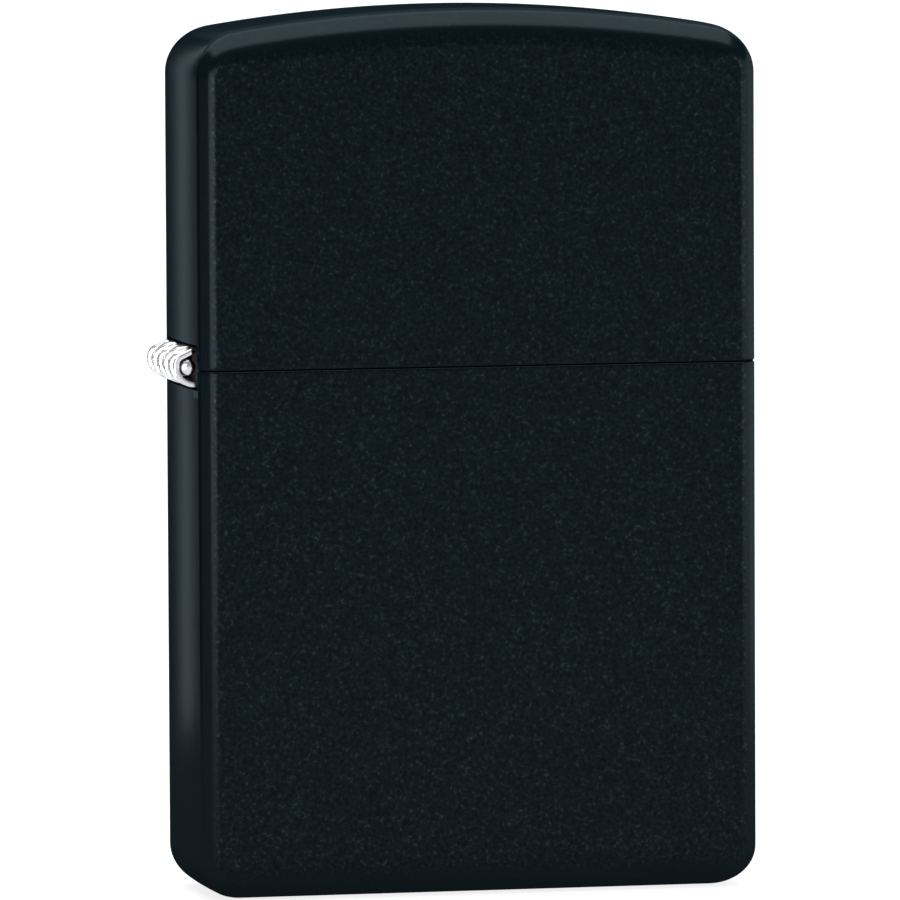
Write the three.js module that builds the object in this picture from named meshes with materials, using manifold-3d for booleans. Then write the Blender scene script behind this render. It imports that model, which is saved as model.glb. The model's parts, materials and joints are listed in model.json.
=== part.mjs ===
// A flip-top pocket lighter, closed and standing upright.
// Millimetres. +Z is up, +X is to the right and -Y is the front. The hinge is on the left side (-X).
// The origin is the middle of the flat base.

import * as THREE from 'three';
import { mergeVertices } from 'three/addons/utils/BufferGeometryUtils.js';
import Module from 'manifold-3d';

const wasm = await Module();
wasm.setup();

// ---- Outer case and lid ----
const caseWidth = 36.8;
const caseDepth = 12.6;
const totalHeight = 57.6;
const seamHeight = 34.45;
const seamGap = 0.12;
const wall = 0.65;
const baseCornerRadius = 2.7; // seen from the front
const topCornerRadius = 3.1;
const crownRise = 1.7; // how far the top arches up over the width
const sideEdgeRadius = 1.05; // rounding of the edges into the flat front and back
const topEdgeRadius = 2.3;
const baseEdgeRadius = 2.6;

// ---- Hinge ----
const pinRadius = 0.53;
const pinOffset = 0.56; // from the side face out to the pin's axis
const pinRise = 0.17; // from the seam up to the pin's axis
const hingeLength = 9.3;
const knuckleCount = 5;
const knuckleGap = 0.06;
const leafThickness = 0.38;
const curlRadius = 0.8; // from the pin's axis to the middle of the sheet, on the far left
const leafReach = 6; // from the pin's axis to the leaf's far edge
const notchHalfHeight = 1.45;
const notchSideGap = 0.4;
const notchFloorGap = 0.16; // under the sheet where it passes out through the notch
const pinX = -caseWidth / 2 - pinOffset;
const pinZ = seamHeight + pinRise;

// ---- Inner unit: the can that slides into the case ----
const insertWidth = 34.4;
const insertDepth = 10.7;
const insertWall = 0.5;
const insertBottom = 2.4;
const insertTop = 35.6;
const insertCornerRadius = 2.2;
const insertEdgeRadius = 0.8;
const seat = 0.03; // clearance between pieces that are pressed or folded together

// ---- Windscreen ----
const screenSheet = 0.45;
const screenTop = 51.8;
const screenLeft = -8;
const screenRight = 4.5;
const screenHalfDepth = 4.2;
const screenCornerRadius = 2.6;
const ventRadius = 1.15;
const ventPitch = 3.6;
const ventMiddleX = -1.75;
const ventMiddleZ = 45.3;
const ventRows = [3, 2, 3];

// ---- Spark wheel and flint ----
const wheelX = 8.3;
const wheelZ = 41.3;
const wheelRadius = 3.3;
const wheelWidth = 4.4;
const wheelTeeth = 32;
const toothDepth = 0.32;
const axleRadius = 0.8;
const runningGap = 0.06;
const wheelEarHalfDepth = 2.7;
const tubeRadius = 2.0;
const tubeBore = 1.35;
const tubeBottom = 4.2;
const tubeTop = 37.4;
const flintRadius = 1.2;
const flintLength = 4.4;
const flintTip = 37.94;
const springRadius = 0.9;
const springWire = 0.18;
const springTurns = 10;
const plungerHeight = 1.8;
const screwHeadRadius = 2.7;
const screwHeadBottom = 2.6;
const screwHeadHeight = 1.4;
const screwTop = 8.5;

// ---- Cam that snaps the lid open and shut ----
const camX = -12.4;
const camZ = 39;
const camWidth = 2.6;
const camPinRadius = 0.75;
const camEarHalfDepth = 1.95;
const camSpringSheet = 0.3;
const camSpringWidth = 2.4;
const camSpringRivetX = -4.2;
const camSpringRivetRadius = 0.7;

// ---- Wick and packing ----
const wickX = -0.8;
const wickRadius = 1.25;
const wickTop = 45.4;
const wickBottom = 6.5;
const packingCount = 5;
const packingBottom = 5.3;
const packingTop = 34.4;
const padBottom = 2.8;
const padTop = 5;

// ---- Solids: joining and cutting closed meshes ----

function solid(geometry) {
  const bare = geometry.index ? geometry.toNonIndexed() : geometry.clone();
  bare.deleteAttribute('normal');
  bare.deleteAttribute('uv');
  const merged = mergeVertices(bare, 1e-4);
  const corners = merged.index.array;
  const kept = [];
  for (let i = 0; i < corners.length; i += 3) {
    const [a, b, c] = corners.subarray(i, i + 3);
    if (a !== b && b !== c && c !== a) kept.push(a, b, c);
  }
  const mesh = new wasm.Mesh({
    numProp: 3,
    vertProperties: new Float32Array(merged.attributes.position.array),
    triVerts: new Uint32Array(kept),
  });
  return new wasm.Manifold(mesh);
}

function geometryOf(body) {
  const mesh = body.getMesh();
  const geometry = new THREE.BufferGeometry();
  geometry.setAttribute('position', new THREE.BufferAttribute(mesh.vertProperties, 3));
  geometry.setIndex(new THREE.BufferAttribute(mesh.triVerts, 1));
  return geometry;
}

function join(...bodies) {
  return bodies.reduce((whole, body) => whole.add(body));
}

function cut(body, ...tools) {
  return tools.reduce((rest, tool) => rest.subtract(tool), body);
}

// ---- Simple shapes ----

function boxBetween(low, high) {
  const size = high.map((value, i) => value - low[i]);
  const geometry = new THREE.BoxGeometry(...size);
  geometry.translate(...high.map((value, i) => (value + low[i]) / 2));
  return solid(geometry);
}

/** Extrudes an outline drawn in X and Z along Y. */
function extrudeAlongY(shape, nearY, farY, curveSegments = 8) {
  const geometry = new THREE.ExtrudeGeometry(shape, {
    depth: farY - nearY,
    bevelEnabled: false,
    curveSegments,
  });
  geometry.rotateX(Math.PI / 2);
  geometry.translate(0, farY, 0);
  return solid(geometry);
}

/** Extrudes an outline drawn in X and Y along Z. */
function extrudeAlongZ(shape, bottom, top, curveSegments = 8) {
  const geometry = new THREE.ExtrudeGeometry(shape, {
    depth: top - bottom,
    bevelEnabled: false,
    curveSegments,
  });
  geometry.translate(0, 0, bottom);
  return solid(geometry);
}

function rodAlongY(radius, nearY, farY, x, z, sides = 20) {
  const geometry = new THREE.CylinderGeometry(radius, radius, farY - nearY, sides);
  geometry.translate(x, (nearY + farY) / 2, z);
  return solid(geometry);
}

function rodAlongZ(radius, bottom, top, x, y, sides = 20) {
  const geometry = new THREE.CylinderGeometry(radius, radius, top - bottom, sides);
  geometry.rotateX(Math.PI / 2);
  geometry.translate(x, y, (bottom + top) / 2);
  return solid(geometry);
}

function roundedRectangle(width, height, radius) {
  const x = width / 2 - radius;
  const y = height / 2 - radius;
  const shape = new THREE.Shape();
  shape.absarc(x, y, radius, 0, Math.PI / 2);
  shape.absarc(-x, y, radius, Math.PI / 2, Math.PI);
  shape.absarc(-x, -y, radius, Math.PI, Math.PI * 1.5);
  shape.absarc(x, -y, radius, Math.PI * 1.5, Math.PI * 2);
  return shape;
}

/** The outline of two circles and the straight belt around them. */
function taperedLink(ax, ay, aRadius, bx, by, bRadius) {
  const heading = Math.atan2(by - ay, bx - ax);
  const spread = Math.acos((aRadius - bRadius) / Math.hypot(bx - ax, by - ay));
  const shape = new THREE.Shape();
  shape.absarc(ax, ay, aRadius, heading + spread, heading + Math.PI * 2 - spread);
  shape.absarc(bx, by, bRadius, heading - spread, heading + spread);
  return shape;
}

/** The outline of a bent sheet, from the line along its middle. */
function sheetOutline(middle, thickness) {
  const sides = [[], []];
  middle.forEach((point, i) => {
    const before = middle[Math.max(i - 1, 0)];
    const after = middle[Math.min(i + 1, middle.length - 1)];
    const along = new THREE.Vector2().subVectors(after, before).normalize();
    const across = new THREE.Vector2(-along.y, along.x).multiplyScalar(thickness / 2);
    sides[0].push(point.clone().add(across));
    sides[1].push(point.clone().sub(across));
  });
  return new THREE.Shape([...sides[1], ...sides[0].reverse()]);
}

/** The points of a path without the ones that repeat where its pieces meet. */
function pathPoints(path, divisions) {
  const points = path.getPoints(divisions);
  return points.filter((point, i) => i === 0 || point.distanceTo(points[i - 1]) > 1e-4);
}

// ---- The form of the closed case ----

/** The front outline, anticlockwise, each point with the direction its surface faces. */
function frontOutline() {
  const half = caseWidth / 2;
  const crownRadius = (half ** 2 + crownRise ** 2) / (2 * crownRise);
  const crownCentre = totalHeight - crownRadius;
  const topX = half - topCornerRadius;
  const topZ = crownCentre + Math.sqrt((crownRadius - topCornerRadius) ** 2 - topX ** 2);
  const joinAngle = Math.atan2(topZ - crownCentre, topX);
  const baseX = half - baseCornerRadius;
  const arcs = [
    { x: baseX, z: baseCornerRadius, radius: baseCornerRadius, from: -Math.PI / 2, to: 0, steps: 6 },
    { x: topX, z: topZ, radius: topCornerRadius, from: 0, to: joinAngle, steps: 6 },
    { x: 0, z: crownCentre, radius: crownRadius, from: joinAngle, to: Math.PI - joinAngle, steps: 12 },
    { x: -topX, z: topZ, radius: topCornerRadius, from: Math.PI - joinAngle, to: Math.PI, steps: 6 },
    { x: -baseX, z: baseCornerRadius, radius: baseCornerRadius, from: Math.PI, to: Math.PI * 1.5, steps: 6 },
  ];
  const points = [];
  for (const arc of arcs) {
    for (let i = 0; i <= arc.steps; i++) {
      const angle = THREE.MathUtils.lerp(arc.from, arc.to, i / arc.steps);
      const facing = new THREE.Vector2(Math.cos(angle), Math.sin(angle));
      const place = facing.clone().multiplyScalar(arc.radius).add(new THREE.Vector2(arc.x, arc.z));
      const last = points.at(-1);
      if (!last || last.place.distanceTo(place) > 1e-6) points.push({ place, facing });
    }
  }
  return points;
}

function edgeRadius(facing) {
  const broad = facing.y > 0 ? topEdgeRadius : baseEdgeRadius;
  return THREE.MathUtils.lerp(sideEdgeRadius, broad, facing.y ** 2);
}

/** One ring of the form, on the front (side -1) or the back (side 1), turned into its edge rounding. */
function formRing(outline, inset, side, turn) {
  return outline.map(({ place, facing }) => {
    const radius = edgeRadius(facing) - inset;
    const inward = inset + radius * (1 - Math.sin(turn));
    const y = side * (caseDepth / 2 - inset - radius * (1 - Math.cos(turn)));
    return new THREE.Vector3(place.x - facing.x * inward, y, place.y - facing.y * inward);
  });
}

/** Joins rings of equal length, from the front one to the back one, and caps both ends. */
function loft(rings) {
  const count = rings[0].length;
  const positions = rings.flat().flatMap((point) => [point.x, point.y, point.z]);
  const faces = [];
  for (let ring = 0; ring < rings.length - 1; ring++) {
    for (let i = 0; i < count; i++) {
      const a = ring * count + i;
      const b = ring * count + ((i + 1) % count);
      faces.push(a, b + count, b, a, a + count, b + count);
    }
  }
  const flat = rings[0].map((point) => new THREE.Vector2(point.x, point.z));
  const lastRing = (rings.length - 1) * count;
  for (const [a, b, c] of THREE.ShapeUtils.triangulateShape(flat, [])) {
    faces.push(a, b, c, lastRing + a, lastRing + c, lastRing + b);
  }
  const geometry = new THREE.BufferGeometry();
  geometry.setAttribute('position', new THREE.Float32BufferAttribute(positions, 3));
  geometry.setIndex(faces);
  return solid(geometry);
}

/** The whole closed form of case and lid, shrunk inwards by an inset. */
function closedForm(inset) {
  const outline = frontOutline();
  const steps = 5;
  const rings = [];
  for (const side of [-1, 1]) {
    for (let i = 0; i <= steps; i++) {
      const share = side < 0 ? i / steps : 1 - i / steps;
      rings.push(formRing(outline, inset, side, (share * Math.PI) / 2));
    }
  }
  return loft(rings);
}

function shellBetween(bottom, top) {
  const reach = caseWidth;
  const slice = boxBetween([-reach, -reach, bottom], [reach, reach, top]);
  return cut(closedForm(0), closedForm(wall)).intersect(slice);
}

function hingeNotch() {
  const halfWidth = hingeLength / 2 + notchSideGap;
  return boxBetween(
    [pinX - 2, -halfWidth, pinZ - notchHalfHeight],
    [-caseWidth / 2 + wall + 1, halfWidth, pinZ + notchHalfHeight],
  );
}

function caseShell() {
  return cut(shellBetween(-1, seamHeight - seamGap / 2), hingeNotch());
}

function lidShell() {
  return cut(shellBetween(seamHeight + seamGap / 2, totalHeight + 1), hingeNotch());
}

// ---- Hinge ----

/** The middle line of a leaf's sheet: up the inside of the wall, out under the pin, round it and over it. */
function leafMiddle() {
  const innerX = pinOffset + wall + seat + leafThickness / 2;
  const under = -notchHalfHeight + notchFloorGap + leafThickness / 2;
  const path = new THREE.Path();
  path.moveTo(innerX, -leafReach);
  path.lineTo(innerX, under - 0.65);
  path.bezierCurveTo(innerX, under - 0.2, innerX - 0.08, under, innerX - 0.5, under);
  path.lineTo(0.48, under);
  path.bezierCurveTo(-0.15, under, -curlRadius, -0.65, -curlRadius, 0);
  path.bezierCurveTo(-curlRadius, 0.33, -0.72, 0.59, -0.45, 0.72);
  path.lineTo(0.4, 1.11);
  return pathPoints(path, 7);
}

/** A leaf with its knuckles at every second place; the lid's leaf is the case's turned upside down. */
function hingeLeaf(firstKnuckle, upsideDown) {
  const middle = leafMiddle();
  const plate = sheetOutline(middle.slice(0, 2), leafThickness);
  const rolled = sheetOutline(middle.slice(1), leafThickness);
  const pitch = hingeLength / knuckleCount;
  const parts = [extrudeAlongY(plate, -hingeLength / 2, hingeLength / 2)];
  for (let i = firstKnuckle; i < knuckleCount; i += 2) {
    const near = -hingeLength / 2 + i * pitch + knuckleGap / 2;
    parts.push(extrudeAlongY(rolled, near, near + pitch - knuckleGap));
  }
  const leaf = join(...parts);
  const standing = upsideDown ? leaf.mirror([0, 0, 1]) : leaf;
  return standing.translate([pinX, 0, pinZ]);
}

function hingePin() {
  return rodAlongY(pinRadius, -hingeLength / 2 + 0.02, hingeLength / 2 - 0.02, pinX, pinZ, 24);
}

// ---- Inner unit ----

/** A rounded block, its long edges standing along Z, with a rounded top edge. */
function canForm(width, depth, cornerRadius, bottom, top, edge) {
  const outline = roundedRectangle(width - 2 * edge, depth - 2 * edge, cornerRadius - edge);
  const geometry = new THREE.ExtrudeGeometry(outline, {
    depth: top - bottom,
    bevelEnabled: true,
    bevelThickness: edge,
    bevelSize: edge,
    bevelSegments: 3,
    curveSegments: 5,
  });
  geometry.translate(0, 0, bottom - edge);
  return solid(geometry);
}

function insertBody() {
  const outside = canForm(
    insertWidth, insertDepth, insertCornerRadius, insertBottom - 2, insertTop, insertEdgeRadius,
  );
  const inside = canForm(
    insertWidth - 2 * insertWall, insertDepth - 2 * insertWall, insertCornerRadius - insertWall,
    insertBottom - 3, insertTop - insertWall, insertEdgeRadius - insertWall,
  );
  const below = boxBetween([-insertWidth, -insertDepth, -10], [insertWidth, insertDepth, insertBottom]);
  const low = insertTop - 2;
  const high = insertTop + 1;
  return cut(
    outside,
    inside,
    below,
    rodAlongZ(wickRadius + 0.3, low, high, wickX, 0),
    rodAlongZ(tubeRadius + seat, low, high, wheelX, 0, 24),
    rodAlongZ(camSpringRivetRadius + seat, low, high, camSpringRivetX, 0),
  );
}

/** Half of the windscreen's sheet seen from above, from the right-hand ear round to the left wall. */
function screenHalfPlan(side) {
  const path = new THREE.Path();
  const earY = side * wheelEarHalfDepth;
  const fullY = side * screenHalfDepth;
  path.moveTo(wheelX + 2.4, earY);
  path.lineTo(screenRight + 2.1, earY);
  path.bezierCurveTo(screenRight + 1, earY, screenRight + 1.1, fullY, screenRight - 0.2, fullY);
  const cornerX = screenLeft + screenCornerRadius;
  path.lineTo(cornerX, fullY);
  const cornerY = fullY - side * screenCornerRadius;
  path.absarc(cornerX, cornerY, screenCornerRadius, (side * Math.PI) / 2, side * Math.PI, side < 0);
  return pathPoints(path, 6);
}

/** The windscreen's outline seen from the front: tall middle, low ears for the cam and the wheel. */
function screenElevation() {
  const foot = insertTop + seat;
  const camEar = 1.9;
  const wheelEar = 2.1;
  const shape = new THREE.Shape();
  shape.moveTo(camX - 1.3, foot);
  shape.lineTo(camX - camEar, camZ - 1);
  shape.lineTo(camX - camEar, camZ);
  shape.absarc(camX, camZ, camEar, Math.PI, Math.PI * 0.4, true);
  shape.quadraticCurveTo(screenLeft - 1.4, camZ + 2.2, screenLeft - 0.6, camZ + 4.6);
  shape.lineTo(screenLeft - 0.6, screenTop);
  shape.lineTo(screenRight, screenTop);
  shape.lineTo(screenRight, wheelZ + 4);
  shape.quadraticCurveTo(screenRight + 0.3, wheelZ + 2.4, wheelX - 0.6, wheelZ + wheelEar);
  shape.absarc(wheelX, wheelZ, wheelEar, Math.PI * 0.55, 0, true);
  shape.lineTo(wheelX + wheelEar + 0.2, foot);
  return shape;
}

function screenVents() {
  const vents = [];
  ventRows.forEach((count, row) => {
    for (let i = 0; i < count; i++) {
      const x = ventMiddleX + (i - (count - 1) / 2) * ventPitch;
      const z = ventMiddleZ + (row - 1) * ventPitch;
      vents.push(rodAlongY(ventRadius, -insertDepth, insertDepth, x, z, 12));
    }
  });
  return vents;
}

function windscreen() {
  const front = screenHalfPlan(-1);
  const back = screenHalfPlan(1).reverse();
  const wrap = sheetOutline([...front, ...back], screenSheet);
  const low = insertTop - 1;
  const parts = [extrudeAlongZ(wrap, low, screenTop + 1)];
  for (const side of [-1, 1]) {
    const y = side * camEarHalfDepth;
    const near = [camX - 3, y - screenSheet / 2, low];
    const far = [screenLeft, y + screenSheet / 2, screenTop + 1];
    parts.push(boxBetween(near, far));
  }
  const elevation = extrudeAlongY(screenElevation(), -insertDepth, insertDepth);
  const springSlot = boxBetween(
    [screenLeft - 1, -camSpringWidth / 2 - 0.3, low],
    [screenLeft + 1, camSpringWidth / 2 + 0.3, insertTop + 1.6],
  );
  return cut(
    join(...parts).intersect(elevation),
    ...screenVents(),
    springSlot,
    rodAlongY(camPinRadius + seat, -insertDepth, insertDepth, camX, camZ),
    rodAlongY(axleRadius + seat, -insertDepth, insertDepth, wheelX, wheelZ),
  );
}

/** A rivet across two ears, its heads outside them. */
function rivetAlongY(radius, headRadius, earOutside, headHeight, x, z) {
  const profile = new THREE.Path();
  const inner = earOutside + seat;
  const outer = inner + headHeight;
  profile.moveTo(0, -outer);
  profile.bezierCurveTo(headRadius * 0.8, -outer, headRadius, -inner - headHeight * 0.5, headRadius, -inner);
  profile.lineTo(radius, -inner);
  profile.lineTo(radius, inner);
  profile.lineTo(headRadius, inner);
  profile.bezierCurveTo(headRadius, inner + headHeight * 0.5, headRadius * 0.8, outer, 0, outer);
  const geometry = new THREE.LatheGeometry(pathPoints(profile, 3), 16);
  geometry.translate(x, 0, z);
  return solid(geometry);
}

// ---- Spark wheel, flint and its feed ----

function sparkWheel() {
  const shape = new THREE.Shape();
  for (let i = 0; i < wheelTeeth; i++) {
    const angle = (i / wheelTeeth) * Math.PI * 2;
    const step = (Math.PI * 2) / wheelTeeth;
    const tip = wheelRadius - 0.01;
    const root = tip - toothDepth;
    if (i === 0) shape.moveTo(tip, 0);
    else shape.lineTo(tip * Math.cos(angle), tip * Math.sin(angle));
    shape.lineTo(root * Math.cos(angle + step * 0.35), root * Math.sin(angle + step * 0.35));
  }
  const body = extrudeAlongY(shape, -wheelWidth / 2, wheelWidth / 2);
  const centred = body.translate([wheelX, 0, wheelZ]);
  return cut(centred, rodAlongY(axleRadius + runningGap, -wheelWidth, wheelWidth, wheelX, wheelZ));
}

function latheAlongZ(points, x, sides = 20) {
  const geometry = new THREE.LatheGeometry(points.map(([r, z]) => new THREE.Vector2(r, z)), sides);
  geometry.rotateX(Math.PI / 2);
  geometry.translate(x, 0, 0);
  return solid(geometry);
}

function flintTube() {
  const tube = rodAlongZ(tubeRadius, tubeBottom, tubeTop, wheelX, 0, 24);
  return cut(tube, rodAlongZ(tubeBore, 0, totalHeight, wheelX, 0, 24));
}

function flint() {
  const tip = 0.15;
  return latheAlongZ([
    [0, flintTip - flintLength],
    [flintRadius, flintTip - flintLength],
    [flintRadius, flintTip - tip],
    [flintRadius - tip, flintTip],
    [0, flintTip],
  ], wheelX);
}

const plungerTop = flintTip - flintLength - seat;
const springTop = plungerTop - plungerHeight;

function springPlunger() {
  const stem = springRadius - springWire - 0.1;
  return latheAlongZ([
    [0, springTop - 1],
    [stem, springTop - 1],
    [stem, springTop],
    [flintRadius, springTop],
    [flintRadius, plungerTop],
    [0, plungerTop],
  ], wheelX);
}

function flintSpring() {
  const bottom = screwTop + springWire + seat;
  const top = springTop - springWire - seat;
  const points = [];
  const stepsPerTurn = 8;
  const steps = springTurns * stepsPerTurn;
  for (let i = 0; i <= steps; i++) {
    const angle = (i / stepsPerTurn) * Math.PI * 2;
    const x = wheelX + springRadius * Math.cos(angle);
    const z = THREE.MathUtils.lerp(bottom, top, i / steps);
    points.push(new THREE.Vector3(x, springRadius * Math.sin(angle), z));
  }
  const section = new THREE.Shape();
  section.absarc(0, 0, springWire, 0, Math.PI * 2);
  return new THREE.ExtrudeGeometry(section, {
    extrudePath: new THREE.CatmullRomCurve3(points),
    steps,
    curveSegments: 3,
    bevelEnabled: false,
  });
}

function flintScrew() {
  const headTop = screwHeadBottom + screwHeadHeight;
  const body = latheAlongZ([
    [0, screwHeadBottom],
    [screwHeadRadius - 0.3, screwHeadBottom],
    [screwHeadRadius, screwHeadBottom + 0.3],
    [screwHeadRadius, headTop],
    [flintRadius, headTop],
    [flintRadius, screwTop],
    [0, screwTop],
  ], wheelX);
  const slot = boxBetween(
    [wheelX - screwHeadRadius - 1, -0.4, screwHeadBottom - 1],
    [wheelX + screwHeadRadius + 1, 0.4, screwHeadBottom + 0.7],
  );
  return cut(body, slot);
}

// ---- Cam and its spring ----

function camLever() {
  const hub = extrudeAlongY(
    taperedLink(camX, camZ, 1.55, camX - 3.8, camZ - 1.65, 0.75), -camWidth / 2, camWidth / 2,
  );
  const heel = extrudeAlongY(
    taperedLink(camX, camZ, 1.55, camX + 1, camZ - 1.5, 0.6), -camWidth / 2, camWidth / 2,
  );
  const bore = rodAlongY(camPinRadius + runningGap, -camWidth, camWidth, camX, camZ);
  return cut(join(hub, heel), bore);
}

function camSpring() {
  const rest = insertTop + seat + camSpringSheet / 2;
  const path = new THREE.Path();
  path.moveTo(camSpringRivetX + 1.9, rest);
  path.lineTo(camSpringRivetX - 2.2, rest);
  path.bezierCurveTo(screenLeft - 0.5, rest, camX + 2.4, rest + 0.55, camX + 0.5, rest + 0.5);
  path.quadraticCurveTo(camX - 0.7, rest + 0.46, camX - 1.4, rest + 0.1);
  const strip = sheetOutline(pathPoints(path, 5), camSpringSheet);
  const hole = rodAlongZ(
    camSpringRivetRadius + seat, insertTop - 1, insertTop + 2, camSpringRivetX, 0,
  );
  return cut(extrudeAlongY(strip, -camSpringWidth / 2, camSpringWidth / 2), hole);
}

function camSpringRivet() {
  const headBottom = insertTop + camSpringSheet + 2 * seat;
  const tailTop = insertTop - insertWall - seat;
  return latheAlongZ([
    [0, tailTop - 0.35],
    [1.05, tailTop - 0.35],
    [1.05, tailTop],
    [camSpringRivetRadius, tailTop],
    [camSpringRivetRadius, headBottom],
    [1.1, headBottom],
    [0.75, headBottom + 0.4],
    [0, headBottom + 0.4],
  ], camSpringRivetX, 16);
}

// ---- Wick, packing and pad ----

/** The wick's line: straight up through the top plate, gently waved among the packing. */
function wickRoute() {
  const points = [];
  const steps = 16;
  for (let i = 0; i <= steps; i++) {
    const share = i / steps;
    const z = THREE.MathUtils.lerp(wickBottom, wickTop, share);
    const sway = z < packingTop ? Math.sin(((z - packingTop) / 9.9) * Math.PI) : 0;
    points.push(new THREE.Vector3(wickX + 0.9 * sway, 0, z));
  }
  return new THREE.CatmullRomCurve3(points);
}

function wickForm(radius, sides) {
  const section = new THREE.Shape();
  section.absarc(0, 0, radius, 0, Math.PI * 2);
  return new THREE.ExtrudeGeometry(section, {
    extrudePath: wickRoute(),
    steps: 22,
    curveSegments: sides,
    bevelEnabled: false,
  });
}

/** One soft wad of packing: a swollen block with a channel for the wick and one for the flint tube. */
function packingWad(index) {
  const pitch = (packingTop - packingBottom) / packingCount;
  const middle = packingBottom + (index + 0.5) * pitch;
  const width = insertWidth - 2 * insertWall - 0.8;
  const depth = insertDepth - 2 * insertWall - 0.5;
  const geometry = new THREE.SphereGeometry(1, 16, 8);
  const position = geometry.attributes.position;
  const swell = (value, power) => Math.sign(value) * Math.abs(value) ** power;
  for (let i = 0; i < position.count; i++) {
    const x = (swell(position.getX(i), 0.5) * width) / 2;
    const y = (swell(position.getY(i), 0.6) * (pitch - 0.3)) / 2;
    const z = (swell(position.getZ(i), 0.5) * depth) / 2;
    position.setXYZ(i, x, -z, middle + y);
  }
  const channel = solid(wickForm(wickRadius + 0.3, 4));
  return cut(solid(geometry), channel, rodAlongZ(tubeRadius + 0.3, 0, totalHeight, wheelX, 0, 16));
}

function feltPad() {
  const outline = roundedRectangle(
    insertWidth - 2 * insertWall - 0.6, insertDepth - 2 * insertWall - 0.4, insertCornerRadius - 0.8,
  );
  const pad = extrudeAlongZ(outline, padBottom, padTop, 4);
  return cut(pad, rodAlongZ(screwHeadRadius + 0.3, 0, packingBottom, wheelX, 0));
}

// ---- Assembly ----

const finishes = {
  coating: { color: 0x12191d, roughness: 0.72, metalness: 0.2 },
  chrome: { color: 0xd8d8dc, roughness: 0.18, metalness: 1 },
  nickel: { color: 0xc4c4c2, roughness: 0.3, metalness: 1 },
  steel: { color: 0x8d8f92, roughness: 0.38, metalness: 1 },
  darkSteel: { color: 0x4c4c4e, roughness: 0.45, metalness: 1 },
  brass: { color: 0xc6a15a, roughness: 0.32, metalness: 1 },
  flint: { color: 0x55524d, roughness: 0.7, metalness: 0.6 },
  cotton: { color: 0xe8e3d6, roughness: 0.95, metalness: 0 },
  felt: { color: 0xcfc8b8, roughness: 1, metalness: 0 },
};

const lighter = new THREE.Group();

function add(name, shape, finish, parent = lighter) {
  const geometry = shape.isBufferGeometry ? shape : geometryOf(shape);
  const mesh = new THREE.Mesh(geometry, new THREE.MeshStandardMaterial(finish));
  mesh.name = name;
  parent.add(mesh);
}

const outerCase = new THREE.Group();
add('case_bottom', caseShell(), finishes.coating, outerCase);
add('case_lid', lidShell(), finishes.coating, outerCase);
add('hinge_case_leaf', hingeLeaf(0, false), finishes.chrome, outerCase);
add('hinge_lid_leaf', hingeLeaf(1, true), finishes.chrome, outerCase);
add('hinge_pin', hingePin(), finishes.chrome, outerCase);

const innerUnit = new THREE.Group();
add('insert_body', insertBody(), finishes.nickel, innerUnit);
add('windscreen', windscreen(), finishes.nickel, innerUnit);
add('flint_tube', flintTube(), finishes.brass, innerUnit);
add('flint', flint(), finishes.flint, innerUnit);
add('spring_plunger', springPlunger(), finishes.brass, innerUnit);
add('flint_spring', flintSpring(), finishes.steel, innerUnit);
add('flint_screw', flintScrew(), finishes.brass, innerUnit);
add('spark_wheel', sparkWheel(), finishes.darkSteel, innerUnit);
add(
  'wheel_rivet',
  rivetAlongY(axleRadius, 1.35, wheelEarHalfDepth + screenSheet / 2, 0.45, wheelX, wheelZ),
  finishes.steel,
  innerUnit,
);
add('cam_lever', camLever(), finishes.steel, innerUnit);
add(
  'cam_rivet',
  rivetAlongY(camPinRadius, 1.2, camEarHalfDepth + screenSheet / 2, 0.4, camX, camZ),
  finishes.steel,
  innerUnit,
);
add('cam_spring', camSpring(), finishes.steel, innerUnit);
add('cam_spring_rivet', camSpringRivet(), finishes.steel, innerUnit);
add('wick', wickForm(wickRadius, 5), finishes.cotton, innerUnit);
for (let i = 0; i < packingCount; i++) {
  add(`packing_wad_${i + 1}`, packingWad(i), finishes.cotton, innerUnit);
}
add('felt_pad', feltPad(), finishes.felt, innerUnit);

lighter.add(outerCase, innerUnit);

export default lighter;
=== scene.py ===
"""The looks of a flip-top pocket lighter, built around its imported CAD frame.

Sizes and places are in millimetres until mesh_object turns them into metres.
"""

import json
import math

import bmesh
import bpy
from mathutils import Matrix, Vector, noise


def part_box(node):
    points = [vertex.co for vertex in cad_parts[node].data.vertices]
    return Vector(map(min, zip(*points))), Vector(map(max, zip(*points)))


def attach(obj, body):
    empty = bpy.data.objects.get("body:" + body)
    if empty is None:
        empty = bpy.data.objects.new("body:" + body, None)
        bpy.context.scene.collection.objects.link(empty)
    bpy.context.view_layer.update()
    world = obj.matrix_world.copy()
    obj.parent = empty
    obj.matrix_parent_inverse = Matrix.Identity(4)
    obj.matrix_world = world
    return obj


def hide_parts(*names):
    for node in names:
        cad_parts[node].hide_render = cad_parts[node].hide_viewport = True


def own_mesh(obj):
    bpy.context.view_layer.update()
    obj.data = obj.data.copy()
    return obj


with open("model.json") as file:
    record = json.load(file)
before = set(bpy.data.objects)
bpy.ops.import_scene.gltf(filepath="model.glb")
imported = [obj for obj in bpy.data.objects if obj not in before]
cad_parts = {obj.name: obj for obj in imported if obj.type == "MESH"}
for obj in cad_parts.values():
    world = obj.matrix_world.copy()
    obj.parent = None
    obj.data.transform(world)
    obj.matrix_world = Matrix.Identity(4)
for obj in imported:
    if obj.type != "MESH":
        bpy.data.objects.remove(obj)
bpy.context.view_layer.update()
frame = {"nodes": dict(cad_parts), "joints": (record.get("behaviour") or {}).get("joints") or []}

MM = 0.001
PIVOTS = {joint["name"]: Vector(joint["pos_m"]) / MM for joint in frame["joints"] if "pos_m" in joint}


def limits(node):
    """The low and high corners of a CAD piece's box."""
    return [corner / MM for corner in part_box(node)]


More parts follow.
